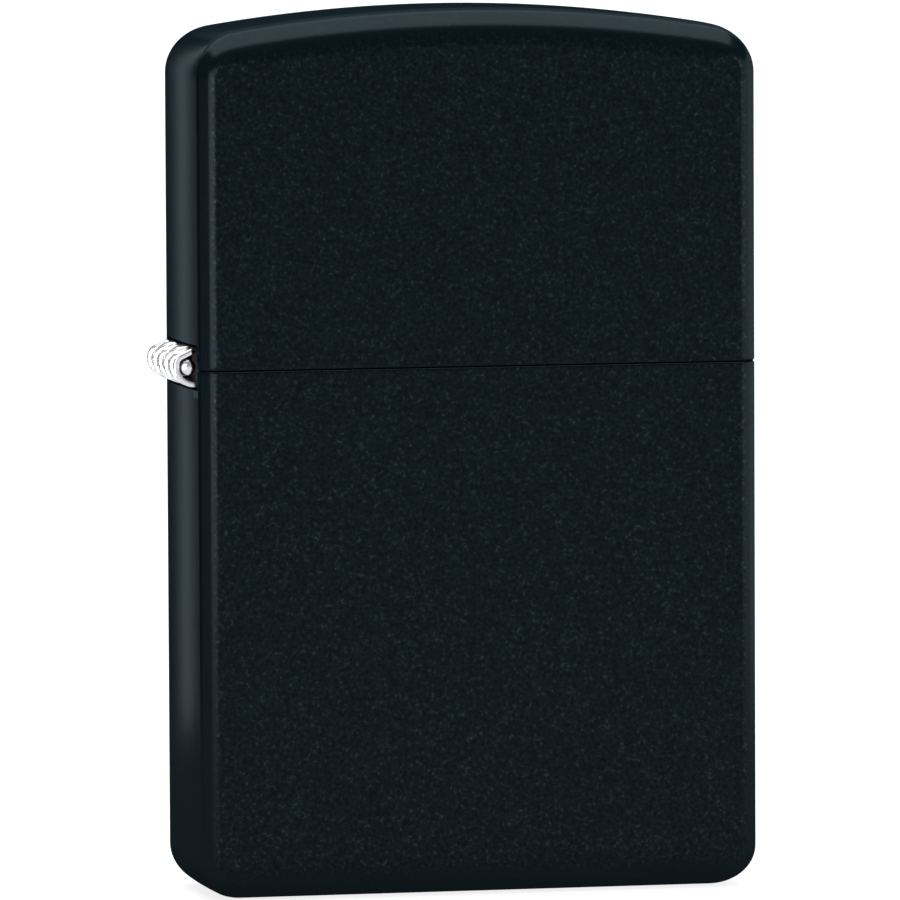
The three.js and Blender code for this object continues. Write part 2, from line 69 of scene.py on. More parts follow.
# ---- Sizes read from the frame ----
CASE_HIGH = limits("case_bottom")[1]
LID_LOW, LID_HIGH = limits("case_lid")
HALF_WIDTH = CASE_HIGH.x
HALF_DEPTH = CASE_HIGH.y
TOTAL_HEIGHT = LID_HIGH.z
PIN = PIVOTS["lid_hinge"]

# ---- Case and lid ----
WALL = 0.65
BASE_CORNER = 2.7
TOP_CORNER = 3.1
CROWN_RISE = 1.7
SIDE_EDGE = 1.05
TOP_EDGE = 2.3
BASE_EDGE = 2.6
SIDE_BULGE = 0.3  # the narrow sides are slightly crowned from front to back
TOP_BULGE = 0.08
RIM_ROUND = 0.14
RIM_INNER_ROUND = 0.08
SUPPORT = 0.05  # a narrow flat strip that keeps the broad faces flat beside their roundings
RIM_LAP = 0.05  # the finished rims stand this much nearer to each other than the bare ones

# ---- Hinge ----
HINGE_LENGTH = 9.3
KNUCKLES = 5
KNUCKLE_GAP = 0.05
LEAF_SHEET = 0.38
LEAF_EDGE = 0.06  # the rounding of the sheet's edges
CURL = 0.8
LEAF_REACH = 6
NOTCH_HALF = 1.45
NOTCH_SIDE_GAP = 0.4
NOTCH_FLOOR_GAP = 0.16
PIN_RADIUS = 0.53
SEAT = 0.03

# ---- Coating ----
PAINT_COLOUR = (0.0003, 0.0021, 0.0033)
PAINT_GLOSS = (0.0050, 0.0065, 0.0076)
PAINT_ROUGHNESS = 0.215
GRAIN_SIZE = 0.23

# ---- Inner unit ----
CAN_LOW, CAN_HIGH = limits("insert_body")
CAN_WALL = 0.5
CAN_CORNER = 2.2
CAN_EDGE = 0.8

# ---- Windscreen ----
SCREEN_SHEET = 0.45
SCREEN_TOP = limits("windscreen")[1].z
SCREEN_LEFT = -8
SCREEN_RIGHT = 4.5
SCREEN_HALF_DEPTH = 4.2
SCREEN_CORNER = 2.6
VENT_RADIUS = 1.15
VENT_PITCH = 3.6
VENT_MIDDLE = (-1.75, 45.3)
VENT_ROWS = (3, 2, 3)

# ---- Spark wheel, flint and its feed ----
WHEEL = PIVOTS["spark_wheel_spin"]
WHEEL_RADIUS = 3.29
WHEEL_WIDTH = 4.4
WHEEL_TEETH = 32
TOOTH_DEPTH = 0.32
WHEEL_EAR = 2.1
WHEEL_EAR_DEPTH = 2.7
AXLE_RADIUS = 0.8
RUNNING_GAP = 0.06
TUBE_LOW, TUBE_HIGH = limits("flint_tube")
TUBE_RADIUS = 2.0
TUBE_BORE = 1.35
FLINT_LOW, FLINT_HIGH = limits("flint")
FLINT_RADIUS = 1.2
PLUNGER_LOW, PLUNGER_HIGH = limits("spring_plunger")
SPRING_LOW, SPRING_HIGH = limits("flint_spring")
SPRING_RADIUS = 0.9
SPRING_WIRE = 0.18
SPRING_TURNS = 10
SCREW_LOW, SCREW_HIGH = limits("flint_screw")
SCREW_HEAD_RADIUS = 2.7
SCREW_HEAD_HEIGHT = 1.4

# ---- Cam ----
CAM = PIVOTS["cam_pivot"]
CAM_WIDTH = 2.6
CAM_EAR = 1.9
CAM_EAR_DEPTH = 1.95
CAM_PIN_RADIUS = 0.75
CAM_SPRING_SHEET = 0.3
CAM_SPRING_WIDTH = 2.4
CAM_RIVET_X = -4.2
CAM_RIVET_RADIUS = 0.7

# ---- Wick, packing and pad ----
WICK_X = -0.8
WICK_LOW, WICK_HIGH = limits("wick")
WICK_RADIUS = 1.25
WICK_STRANDS = 6  # in each direction
WICK_PITCH = 7
WICK_SWAY = 0.9
WICK_WAVE = 9.9  # half a wave
PACKING_NODES = [name for name in frame["nodes"] if name.startswith("packing_wad")]
PACKING_TOP = 34.4
PAD_LOW, PAD_HIGH = limits("felt_pad")
PAD_CORNER = CAN_CORNER - 0.8


# ---- Mesh helpers ----

SAME_PLACE = 1e-4  # points nearer than this are one
NEARLY_HALF = 0.49  # the most of a side that a rounded corner takes


def linked(name, data):
    """A new object of the data, in the scene."""
    thing = bpy.data.objects.new(name, data)
    bpy.context.scene.collection.objects.link(thing)
    return thing


def plain_mesh(name, corners, faces):
    mesh = bpy.data.meshes.new(name)
    mesh.from_pydata(corners, [], faces)
    return mesh


def mesh_object(name, points, faces, kinds=None):
    """A closed mesh from points in millimetres; kinds gives each face's material number."""
    mesh = plain_mesh(name, [tuple(Vector(point) * MM) for point in points], faces)
    if kinds:
        mesh.polygons.foreach_set("material_index", kinds)
    work = bmesh.new()
    work.from_mesh(mesh)
    bmesh.ops.remove_doubles(work, verts=work.verts, dist=1e-8)
    bmesh.ops.recalc_face_normals(work, faces=work.faces)
    for face in work.faces:
        face.smooth = True
    work.to_mesh(mesh)
    work.free()
    return linked(name, mesh)


def from_work(work, name):
    """A new object of a bmesh, which is then closed."""
    mesh = bpy.data.meshes.new(name)
    work.to_mesh(mesh)
    work.free()
    return linked(name, mesh)


def modified(piece, kind, **values):
    """Applies one modifier to a piece."""
    modifier = piece.modifiers.new(kind, kind)
    for key, value in values.items():
        setattr(modifier, key, value)
    depsgraph = bpy.context.evaluated_depsgraph_get()
    mesh = bpy.data.meshes.new_from_object(piece.evaluated_get(depsgraph))
    piece.modifiers.clear()
    piece.data = mesh
    return piece


def boolean(piece, tool, operation="DIFFERENCE"):
    """Cuts, joins or keeps the overlap of piece with a tool that is then thrown away."""
    modified(piece, "BOOLEAN", operation=operation, solver="EXACT", object=tool)
    bpy.data.objects.remove(tool)
    return piece


def shade_smooth(piece):
    for polygon in piece.data.polygons:
        polygon.use_smooth = True
    return piece


def weight_normals(piece):
    """Lets the broad faces decide the shading, so that they look flat beside their roundings."""
    return modified(shade_smooth(piece), "WEIGHTED_NORMAL", weight=80)


def soften(piece, width, segments=2, angle=50):
    """Rounds every edge that is sharper than the angle, in degrees."""
    limit = math.radians(angle)
    modified(piece, "BEVEL", width=width * MM, segments=segments, limit_method="ANGLE", angle_limit=limit)
    return weight_normals(piece)


def ring_quads(bands, across, rings):
    """Quads that join each ring of points to the next one; after the last ring comes the first."""
    faces = []
    for ring in range(bands):
        near = ring * across
        far = (ring + 1) % rings * across
        for i in range(across):
            j = (i + 1) % across
            faces.append((near + i, near + j, far + j, far + i))
    return faces


def loft(name, loops):
    """Joins loops of equal length by quads, and closes both ends."""
    count = len(loops[0])
    points = [point for loop in loops for point in loop]
    faces = ring_quads(len(loops) - 1, count, len(loops))
    faces.append(tuple(range(count))[::-1])
    faces.append(tuple(range(len(points) - count, len(points))))
    return mesh_object(name, points, faces)


def block(low, high):
    x0, y0, z0 = low
    x1, y1, z1 = high
    corners = ((x0, y0), (x1, y0), (x1, y1), (x0, y1))
    return loft("block", [[Vector((x, y, z)) for x, y in corners] for z in (z0, z1)])


def axes_across(axis):
    """Two directions at right angles to an axis."""
    side = Vector((1, 0, 0)) if abs(axis.x) < 0.9 else Vector((0, 1, 0))
    across = axis.cross(side).normalized()
    return across, axis.cross(across).normalized()


def circle(centre, radius, across, up, sides):
    """Points on a circle that lies along two directions."""
    turns = [2 * math.pi * i / sides for i in range(sides)]
    return [centre + radius * (math.cos(turn) * across + math.sin(turn) * up) for turn in turns]


def lathe(name, profile, centre, axis=(0, 0, 1), segments=48):
    """Turns a profile of (radius, height) points, from axis to axis or closed, about an axis."""
    axis = Vector(axis).normalized()
    points = []
    rings = []
    for radius, height in profile:
        steps = segments if radius > 1e-6 else 1
        rings.append(range(len(points), len(points) + steps))
        points += circle(Vector(centre) + axis * height, radius, *axes_across(axis), steps)
    faces = []
    for low, high in zip(rings, rings[1:]):
        for i in range(segments):
            j = (i + 1) % segments
            corners = (low[i % len(low)], low[j % len(low)], high[j % len(high)], high[i % len(high)])
            face = tuple(dict.fromkeys(corners))
            if len(face) > 2:
                faces.append(face)
    return mesh_object(name, points, faces)


def rod(radius, start, length, axis=(0, 1, 0), segments=48):
    """A plain round core, used to bore holes."""
    return lathe("rod", [(0, 0), (radius, 0), (radius, length), (0, length)], start, axis, segments)


def round_corners(corners, radius, steps=4):
    """A line of 2-D points with its inner corners rounded."""
    points = [Vector(corners[0])]
    for before, corner, after in zip(corners, corners[1:], corners[2:]):
        before, corner, after = map(Vector, (before, corner, after))
        back = before - corner
        ahead = after - corner
        reach = min(radius, back.length * NEARLY_HALF, ahead.length * NEARLY_HALF)
        start = corner + back.normalized() * reach
        points += bend(start, corner, corner + ahead.normalized() * reach, steps)
    points.append(Vector(corners[-1]))
    return points


def arc(cx, cy, radius, start, end, steps):
    """2-D points on an arc; the angles are in degrees."""
    points = []
    for i in range(steps + 1):
        angle = math.radians(start + (end - start) * i / steps)
        points.append(Vector((cx + radius * math.cos(angle), cy + radius * math.sin(angle))))
    return points


def edge_steps(radius, steps, start=0, end=90):
    """(inset, drop) steps round an edge: no inset and the full drop at 0 degrees, the reverse at 90."""
    return [(radius * (1 - c.x), radius * (1 - c.y)) for c in arc(0, 0, 1, start, end, steps)]


def bezier(a, b, c, d, steps):
    """2-D points on a cubic curve from a to d."""
    a, b, c, d = map(Vector, (a, b, c, d))
    points = []
    for i in range(steps + 1):
        t = i / steps
        s = 1 - t
        points.append(s ** 3 * a + 3 * s * s * t * b + 3 * s * t * t * c + t ** 3 * d)
    return points


def bend(a, b, c, steps):
    """2-D points on a curve from a to c, drawn towards b."""
    a, b, c = map(Vector, (a, b, c))
    return bezier(a, a.lerp(b, 2 / 3), c.lerp(b, 2 / 3), c, steps)


def without_repeats(points):
    """The points as vectors, each one only once where two runs meet."""
    kept = []
    for point in map(Vector, points):
        if not kept or (point - kept[-1]).length > SAME_PLACE:
            kept.append(point)
    return kept


def rounded_rectangle(width, height, radius, steps=3):
    """2-D points of a rounded rectangle about the origin, anticlockwise."""
    radius = min(radius, width * NEARLY_HALF, height * NEARLY_HALF)
    x = width / 2 - radius
    y = height / 2 - radius
    corners = ((x, y, 0), (-x, y, 90), (-x, -y, 180), (x, -y, 270))
    return [point for cx, cy, start in corners for point in arc(cx, cy, radius, start, start + 90, steps)]


def flat_loop(outline, z):
    """A 2-D outline laid flat at a height."""
    return [Vector((point.x, point.y, z)) for point in outline]


def box_loop(low, high, corner, inset, z):
    """A level section of an upright box about the origin, this much inside its outline."""
    width = high.x - low.x - 2 * inset
    depth = high.y - low.y - 2 * inset
    return flat_loop(rounded_rectangle(width, depth, corner - inset, 8), z)


def tangents_of(path):
    """The direction of a path at each of its points."""
    last = len(path) - 1
    return [(path[min(i + 1, last)] - path[max(i - 1, 0)]).normalized() for i in range(last + 1)]


def sheet_strip(name, path, thickness, width, edge):
    """A strip of sheet metal that follows a path; its width lies along Y, its edges are rounded."""
    across = Vector((0, 1, 0))
    tangents = tangents_of(path)
    tip = edge_steps(edge, 2, 0, 60)
    stations = [(path[0] + tangents[0] * push, tangents[0], trim) for push, trim in tip]
    stations += [(point, tangent, 0) for point, tangent in zip(path[1:-1], tangents[1:-1])]
    stations += [(path[-1] - tangents[-1] * push, tangents[-1], trim) for push, trim in tip[::-1]]
    loops = []
    for point, tangent, trim in stations:
        normal = across.cross(tangent).normalized()
        section = rounded_rectangle(thickness - 2 * trim, width - 2 * trim, edge)
        loops.append([point + normal * s.x + across * s.y for s in section])
    return weight_normals(loft(name, loops))


def extrude_outline(name, outline, start, length, axis="Y"):
    """A flat 2-D outline in X and Z extruded along Y, or in X and Y extruded along Z."""
    loops = [flat_loop(outline, at) for at in (start, start + length)]
    if axis == "Y":
        loops = [[Vector((x, at, z)) for x, z, at in loop] for loop in loops]
    return loft(name, loops)


def sheet_outline(path, thickness):
    """The outline of a bent sheet, from 2-D points along its middle."""
    across = [Vector((-along.y, along.x)) * thickness / 2 for along in tangents_of(path)]
    near = [point - half for point, half in zip(path, across)]
    far = [point + half for point, half in zip(path, across)]
    return near + far[::-1]


def merged(name, pieces):
    """One object of several meshes, which are then thrown away."""
    work = bmesh.new()
    for piece in pieces:
        work.from_mesh(piece.data)
        bpy.data.objects.remove(piece)
    return from_work(work, name)


def tube(name, path, radii, sides=8):
    """A round bar along a list of 3-D points, with a radius for each point or one for all."""
    radii = radii if isinstance(radii, list) else [radii] * len(path)
    tangents = tangents_of(path)
    normal = axes_across(tangents[0])[0]
    loops = []
    for point, along, radius in zip(path, tangents, radii):
        normal = (normal - along * normal.dot(along)).normalized()
        loops.append(circle(point, radius, normal, along.cross(normal), sides))
    return loft(name, loops)


# ---- Case and lid ----

def crown_geometry():
    """The crown's centre and radius, and where it runs into the top corners."""
    radius = (HALF_WIDTH ** 2 + CROWN_RISE ** 2) / (2 * CROWN_RISE)
    centre = TOTAL_HEIGHT - radius
    corner_x = HALF_WIDTH - TOP_CORNER
    corner_z = centre + math.sqrt((radius - TOP_CORNER) ** 2 - corner_x ** 2)
    angle = math.degrees(math.atan2(corner_z - centre, corner_x))
    return radius, centre, corner_x, corner_z, angle


def stations_on_arc(cx, cz, radius, start, end, steps):
    """Places on an arc, each with the direction that its surface faces."""
    facings = arc(0, 0, 1, start, end, steps)
    return [(Vector((cx, cz)) + facing * radius, facing) for facing in facings]


def stations_on_line(start, end, facing, steps):
    start, end, facing = map(Vector, (start, end, facing))
    return [(start.lerp(end, i / steps), facing) for i in range(steps + 1)]


def mirrored(stations):
    """The same places on the other side, in the opposite order."""
    return [(Vector((-place.x, place.y)), Vector((-facing.x, facing.y))) for place, facing in stations[::-1]]


def without_repeated_places(stations):
    kept = []
    for place, facing in stations:
        if not kept or (kept[-1][0] - place).length > SAME_PLACE:
            kept.append((place, facing))
    return kept


def lid_stations(rim):
    """Over the top, from the right-hand rim to the left-hand one."""
    radius, centre, corner_x, corner_z, angle = crown_geometry()
    right = stations_on_line((HALF_WIDTH, rim), (HALF_WIDTH, corner_z), (1, 0), 14)
    right += stations_on_arc(corner_x, corner_z, TOP_CORNER, 0, angle, 14)
    crown = stations_on_arc(0, centre, radius, angle, 180 - angle, 40)
    return without_repeated_places(right + crown + mirrored(right))


def case_stations(rim):
    """Under the base, from the left-hand rim to the right-hand one."""
    corner_x = HALF_WIDTH - BASE_CORNER
    base = stations_on_line((-corner_x, 0), (corner_x, 0), (0, -1), 16)
    right = stations_on_arc(corner_x, BASE_CORNER, BASE_CORNER, 270, 360, 16)
    right += stations_on_line((HALF_WIDTH, BASE_CORNER), (HALF_WIDTH, rim), (1, 0), 20)
    return without_repeated_places(mirrored(right) + base + right)


def surface_point(place, facing, inset, side, turn, along):
    """A point of the form, from the front (side -1) round an edge, across the narrow side, to the back.

    turn goes from 0 on the broad face to 90 degrees on the narrow side. along is the extra way in,
    across the broad face.
    """
    broad = TOP_EDGE if facing.y > 0 else BASE_EDGE
    radius = SIDE_EDGE + (broad - SIDE_EDGE) * facing.y ** 2 - inset
    inward = inset + radius * (1 - math.sin(turn)) + along
    y = side * (HALF_DEPTH - inset - radius * (1 - math.cos(turn)))
    return narrow_side_point(place, facing, inward, y)


def narrow_side_point(place, facing, inward, y):
    crown = TOP_BULGE if facing.y > 0 else 0
    bulge = (SIDE_BULGE + (crown - SIDE_BULGE) * facing.y ** 2) * (1 - (y / HALF_DEPTH) ** 2)
    flat = place - facing * (inward - bulge)
    return Vector((flat.x, y, flat.y))


def surface_row(place, facing, inset, rounding=10, across=8):
    """One row of points over the narrow side, from the front face to the back face."""
    turns = [math.pi / 2 * i / rounding for i in range(rounding + 1)]
    front = [surface_point(place, facing, inset, -1, turn, 0) for turn in turns]
    back = [surface_point(place, facing, inset, 1, turn, 0) for turn in turns[::-1]]
    low = front[-1].y
    high = back[0].y
    middle = []
    for i in range(1, across):
        middle.append(narrow_side_point(place, facing, inset, low + (high - low) * i / across))
    start = surface_point(place, facing, inset, -1, 0, SUPPORT)
    end = surface_point(place, facing, inset, 1, 0, SUPPORT)
    return [start, *front, *middle, *back, end]


def rim_steps():
    """(inset, rise) steps round the rim's bare edge, from the outer surface to the inner one."""
    inner = [(WALL - inset, rise) for inset, rise in edge_steps(RIM_INNER_ROUND, 3, 90, 0)]
    return edge_steps(RIM_ROUND, 4) + inner


def shell(name, stations, rim, inward_rise):
    """A thin-walled half of the case; the stations run from one side's rim to the other's.

    The rows make a closed loop: along the outside, round one rim, back along the inside and round
    the other rim. Each broad face is one flat polygon between the rows' ends, and the front and back
    rims are strips between the two sides' rims.
    """
    steps = rim_steps()
    first_facing = stations[0][1]
    last_facing = stations[-1][1]

    def rim_row(facing, inset, rise):
        place = Vector((facing.x * HALF_WIDTH, rim + inward_rise * rise))
        return surface_row(place, facing, inset)

    rows = [surface_row(place, facing, 0) for place, facing in stations]
    rows += [rim_row(last_facing, inset, rise) for inset, rise in steps]
    rows += [surface_row(place, facing, WALL) for place, facing in stations[::-1]]
    rows += [rim_row(first_facing, inset, rise) for inset, rise in steps[::-1]]
    count = len(rows)
    across = len(rows[0])
    outside = len(stations)
    inner_start = outside + len(steps)
    inner_end = inner_start + outside

    faces = []
    kinds = []

    def add(kind, corners):
        faces.append(tuple(row % count * across + column for row, column in corners))
        kinds.append(kind)

    for row in range(count):
        kind = 1 if inner_start <= row < inner_end - 1 else 0
        for i in range(across - 1):
            add(kind, ((row, i), (row, i + 1), (row + 1, i + 1), (row + 1, i)))
    for column in (0, across - 1):
        add(0, [(row, column) for row in range(outside)])
        add(1, [(row, column) for row in range(inner_start, inner_end)])
        for row in range(outside - 1, inner_start):
            mirrored = outside - 1 - row
            add(0, [(r, column) for r in (row, row + 1, mirrored - 1, mirrored)])
    points = [point for row in rows for point in row]
    return mesh_object(name, points, faces, kinds)


def hinge_notch():
    """The opening in the left wall that the knuckles stand in, half of it in each shell."""
    half = HINGE_LENGTH / 2 + NOTCH_SIDE_GAP
    low = (PIN.x - 2, -half, PIN.z - NOTCH_HALF)
    high = (-HALF_WIDTH + WALL + 1, half, PIN.z + NOTCH_HALF)
    return block(low, high)


def case_halves():
    """The lower case and the lid, each with its half of the notch for the hinge's knuckles."""
    first = 0.3  # the first row above the rounded rim
    pieces = []
    for name, bare_rim, inward in (("case_shell", CASE_HIGH.z, -1), ("lid_shell", LID_LOW.z, 1)):
        rim = bare_rim - inward * RIM_LAP
        make_stations = lid_stations if inward > 0 else case_stations
        piece = shell(name, make_stations(rim + inward * first), rim, inward)
        boolean(piece, hinge_notch())
        pieces.append(soften(piece, 0.05))
    return pieces


# ---- Hinge ----

def leaf_middle():
    """The middle line of a leaf's sheet: up the wall, out under the pin, round it and over it."""
    inner = -PIN.x - HALF_WIDTH + WALL + SEAT + LEAF_SHEET / 2
    under = -NOTCH_HALF + NOTCH_FLOOR_GAP + LEAF_SHEET / 2
    plate = [Vector((inner, -LEAF_REACH)), Vector((inner, under - 1.6)), Vector((inner, under - 0.65))]
    rolled = [
        plate[-1],
        *bezier(plate[-1], (inner, under - 0.2), (inner - 0.08, under), (inner - 0.5, under), 8),
        *bezier((0.48, under), (-0.15, under), (-CURL, -0.65), (-CURL, 0), 18),
        *bezier((-CURL, 0), (-CURL, 0.33), (-0.72, 0.59), (-0.45, 0.72), 10),
        (0.13, 0.985),
        (0.4, 1.11),
    ]
    return plate, without_repeats(rolled)


def hinge_leaf(body, first_knuckle, flip):
    """The flat plate inside the wall and the knuckles that grow out of it, as separate strips."""
    plate, rolled = leaf_middle()

    def placed(line, y):
        return [Vector((PIN.x + point.x, y, PIN.z + flip * point.y)) for point in line]

    pitch = HINGE_LENGTH / KNUCKLES
    pieces = [sheet_strip(f"hinge_{body}_plate", placed(plate, 0), LEAF_SHEET, HINGE_LENGTH, LEAF_EDGE)]
    for i in range(first_knuckle, KNUCKLES, 2):
        y = -HINGE_LENGTH / 2 + (i + 0.5) * pitch
        name = f"hinge_knuckle_{i + 1}"
        pieces.append(sheet_strip(name, placed(rolled, y), LEAF_SHEET, pitch - KNUCKLE_GAP, LEAF_EDGE))
    return pieces


def hinge_pin():
    """A wire pin, its ends slightly domed."""
    half = HINGE_LENGTH / 2 - 0.02
    dome = 0.07
    corners = [(0, -half), (PIN_RADIUS * 0.55, -half + dome * 0.25), (PIN_RADIUS, -half + dome * 1.6)]
    corners += [(radius, -height) for radius, height in corners[::-1]]
    return lathe("hinge_pin_wire", round_corners(corners, 0.12), (PIN.x, 0, PIN.z), (0, 1, 0), 64)


# ---- Inner unit ----

def insert_body():
    """The can: a drawn box, open below, pierced on top for the wick, the flint tube and a rivet."""

    def loop(inset, z):
        return box_loop(CAN_LOW, CAN_HIGH, CAN_CORNER, inset, z)

    def edge_loops(inset, top):
        return [loop(inset + step, top - fall) for step, fall in edge_steps(CAN_EDGE - inset, 6)]

    rim = 0.12
    inner = edge_loops(CAN_WALL, CAN_HIGH.z - CAN_WALL)[::-1]
    rims = [
        loop(CAN_WALL, CAN_LOW.z + rim),
        loop(CAN_WALL - rim, CAN_LOW.z),
        loop(rim, CAN_LOW.z),
        loop(0, CAN_LOW.z + rim),
    ]
    can = loft("insert_can", inner + rims + edge_loops(0, CAN_HIGH.z))
    holes = {
        WICK_X: WICK_RADIUS + 0.3,
        WHEEL.x: TUBE_RADIUS + SEAT,
        CAM_RIVET_X: CAM_RIVET_RADIUS + SEAT,
    }
    cutters = [rod(radius, (x, 0, CAN_HIGH.z - 2), 4, (0, 0, 1)) for x, radius in holes.items()]
    boolean(can, merged("holes", cutters))
    return soften(can, 0.08)


def screen_plan():
    """The windscreen's sheet from above, from the front right-hand ear round the left to the back one."""
    corner_x = SCREEN_LEFT + SCREEN_CORNER
    shoulder = bezier(
        (SCREEN_RIGHT + 2.1, -WHEEL_EAR_DEPTH),
        (SCREEN_RIGHT + 1, -WHEEL_EAR_DEPTH),
        (SCREEN_RIGHT + 1.1, -SCREEN_HALF_DEPTH),
        (SCREEN_RIGHT - 0.2, -SCREEN_HALF_DEPTH),
        14,
    )
    corner = arc(corner_x, -SCREEN_HALF_DEPTH + SCREEN_CORNER, SCREEN_CORNER, 270, 180, 14)
    front = [(WHEEL.x + 2.4, -WHEEL_EAR_DEPTH), *shoulder, *corner]
    return without_repeats(front + [(x, -y) for x, y in front[::-1]])


def screen_elevation():
    """The windscreen from the front: tall middle, low ears for the cam and the wheel."""
    foot = CAN_HIGH.z + SEAT
    cam_ear = arc(CAM.x, CAM.z, CAM_EAR, 180, 72, 16)
    left_rise = (SCREEN_LEFT - 0.6, CAM.z + 4.6)
    right_rise = (SCREEN_RIGHT, WHEEL.z + 4)
    line = [
        (CAM.x - 1.3, foot),
        (CAM.x - CAM_EAR, CAM.z - 1),
        *cam_ear,
        *bend(cam_ear[-1], (SCREEN_LEFT - 1.4, CAM.z + 2.2), left_rise, 12),
        (SCREEN_LEFT - 0.6, SCREEN_TOP),
        (SCREEN_RIGHT, SCREEN_TOP),
        *bend(right_rise, (SCREEN_RIGHT + 0.3, WHEEL.z + 2.4), (WHEEL.x - 0.6, WHEEL.z + WHEEL_EAR), 12),
        *arc(WHEEL.x, WHEEL.z, WHEEL_EAR, 99, 0, 16),
        (WHEEL.x + WHEEL_EAR + 0.2, foot),
    ]
    return without_repeats(line)


def windscreen():
    """A folded sheet, pierced by eight vents on each side, with ears for the cam and the wheel."""
    reach = SCREEN_HALF_DEPTH + 2
    low = CAN_HIGH.z - 1
    height = SCREEN_TOP + 1 - low
    plan = sheet_outline(screen_plan(), SCREEN_SHEET)
    screen = extrude_outline("windscreen_sheet", plan, low, height, "Z")
    for side in (-1, 1):
        y = side * CAM_EAR_DEPTH
        near = (CAM.x - 3, y - SCREEN_SHEET / 2, low)
        far = (SCREEN_LEFT, y + SCREEN_SHEET / 2, SCREEN_TOP + 1)
        boolean(screen, block(near, far), "UNION")
    boolean(screen, extrude_outline("elevation", screen_elevation(), -reach, 2 * reach), "INTERSECT")
    holes = []
    for row, count in enumerate(VENT_ROWS):
        for i in range(count):
            x = VENT_MIDDLE[0] + (i - (count - 1) / 2) * VENT_PITCH
            holes.append((VENT_RADIUS, x, VENT_MIDDLE[1] + (row - 1) * VENT_PITCH))
    holes += [(CAM_PIN_RADIUS + SEAT, CAM.x, CAM.z), (AXLE_RADIUS + SEAT, WHEEL.x, WHEEL.z)]
    cutters = [rod(radius, (x, -reach, z), 2 * reach) for radius, x, z in holes]
    slot = CAM_SPRING_WIDTH / 2 + 0.3
    cutters.append(block((SCREEN_LEFT - 1, -slot, low), (SCREEN_LEFT + 1, slot, CAN_HIGH.z + 1.6)))
    boolean(screen, merged("vents", cutters))
    return soften(screen, 0.07, angle=35)


def spark_wheel():
    """A hardened wheel cut with slanting teeth, and a second, finer cut that crosses them."""
    half = WHEEL_WIDTH / 2
    bore = AXLE_RADIUS + RUNNING_GAP
    columns = WHEEL_TEETH * 10
    rows = 26
    shoulder = 0.35
    bare = 0.12  # the bore's chamfer
    root = WHEEL_RADIUS - 0.9
    slant = 0.55  # teeth that the cut turns by, for each millimetre of width

    def surface(turn, y):
        count = turn / (2 * math.pi) * WHEEL_TEETH
        tooth = (count + slant * y) % 1
        crossing = abs((count / 2 - slant * y) % 1 - 0.5) * 2
        cut = TOOTH_DEPTH * (0.85 * tooth ** 1.3 + 0.5 * max(0, 0.3 - crossing) / 0.3)
        edge = max(0, abs(y) - (half - shoulder)) / shoulder
        return WHEEL_RADIUS - min(cut, TOOTH_DEPTH) * (1 - edge ** 2) - shoulder * edge ** 2

    points = []
    for column in range(columns):
        turn = 2 * math.pi * column / columns
        heights = [-half + WHEEL_WIDTH * row / rows for row in range(rows + 1)]
        profile = [(bore, -half + bare), (bore + bare, -half), (root, -half)]
        profile += [(surface(turn, y), y) for y in heights]
        profile += [(root, half), (bore + bare, half), (bore, half - bare)]
        for radius, y in profile:
            points.append(Vector((WHEEL.x + radius * math.cos(turn), y, WHEEL.z + radius * math.sin(turn))))
    faces = ring_quads(columns, len(points) // columns, columns)
    return mesh_object("spark_wheel_cut", points, faces)


def rivet_across(name, pivot, radius, head_radius, ear_depth, head_height):
    """A tubular rivet across two ears, each end spread into a ring with a hollow middle."""
    inner = ear_depth + SCREEN_SHEET / 2 + SEAT
    outer = inner + head_height
    shoulder = head_height * 0.55
    end = [
        (0, -inner + 0.05), (radius * 0.45, -inner), (radius * 0.6, -outer + 0.06), (radius * 0.85, -outer),
        *arc(head_radius - shoulder, -outer + shoulder, shoulder, -80, 0, 6),
        (head_radius, -inner), (radius, -inner),
    ]
    profile = end + [(r, -y) for r, y in end[::-1]]
    return weight_normals(lathe(name, profile, (pivot.x, 0, pivot.z), (0, 1, 0)))


def flint_tube():
    """The brass tube that holds the flint."""
    bare = 0.1
    low = TUBE_LOW.z
    high = TUBE_HIGH.z
    corners = [
        (TUBE_BORE, low + bare), (TUBE_BORE + bare, low),
        (TUBE_RADIUS - bare, low), (TUBE_RADIUS, low + bare),
        (TUBE_RADIUS, high - bare), (TUBE_RADIUS - bare, high),
        (TUBE_BORE + bare, high), (TUBE_BORE, high - bare),
    ]
    return weight_normals(lathe("flint_tube_brass", corners + corners[:1], (WHEEL.x, 0, 0)))


def turned(name, steps, rounding):
    """A solid turned about the flint's axis, from (radius, low, high) steps."""
    corners = [(0, steps[0][1])]
    for radius, low, high in steps:
        corners += [(radius, low), (radius, high)]
    corners.append((0, steps[-1][2]))
    return weight_normals(lathe(name, round_corners(corners, rounding), (WHEEL.x, 0, 0), segments=56))


def flint():
    """A short rod, its tip worn to the wheel's curve."""
    piece = turned("flint_rod", [(FLINT_RADIUS, FLINT_LOW.z, FLINT_HIGH.z)], 0.18)
    worn = WHEEL_RADIUS + 0.08
    middle = FLINT_HIGH.z + math.sqrt(worn ** 2 - FLINT_RADIUS ** 2)
    boolean(piece, rod(worn, (WHEEL.x, -3, middle), 6, segments=96))
    return weight_normals(piece)


def spring_plunger():
    stem = SPRING_RADIUS - SPRING_WIRE - 0.1
    collar = PLUNGER_LOW.z + 1
    steps = [(stem, PLUNGER_LOW.z, collar), (FLINT_RADIUS, collar, PLUNGER_HIGH.z)]
    return turned("plunger_brass", steps, 0.12)


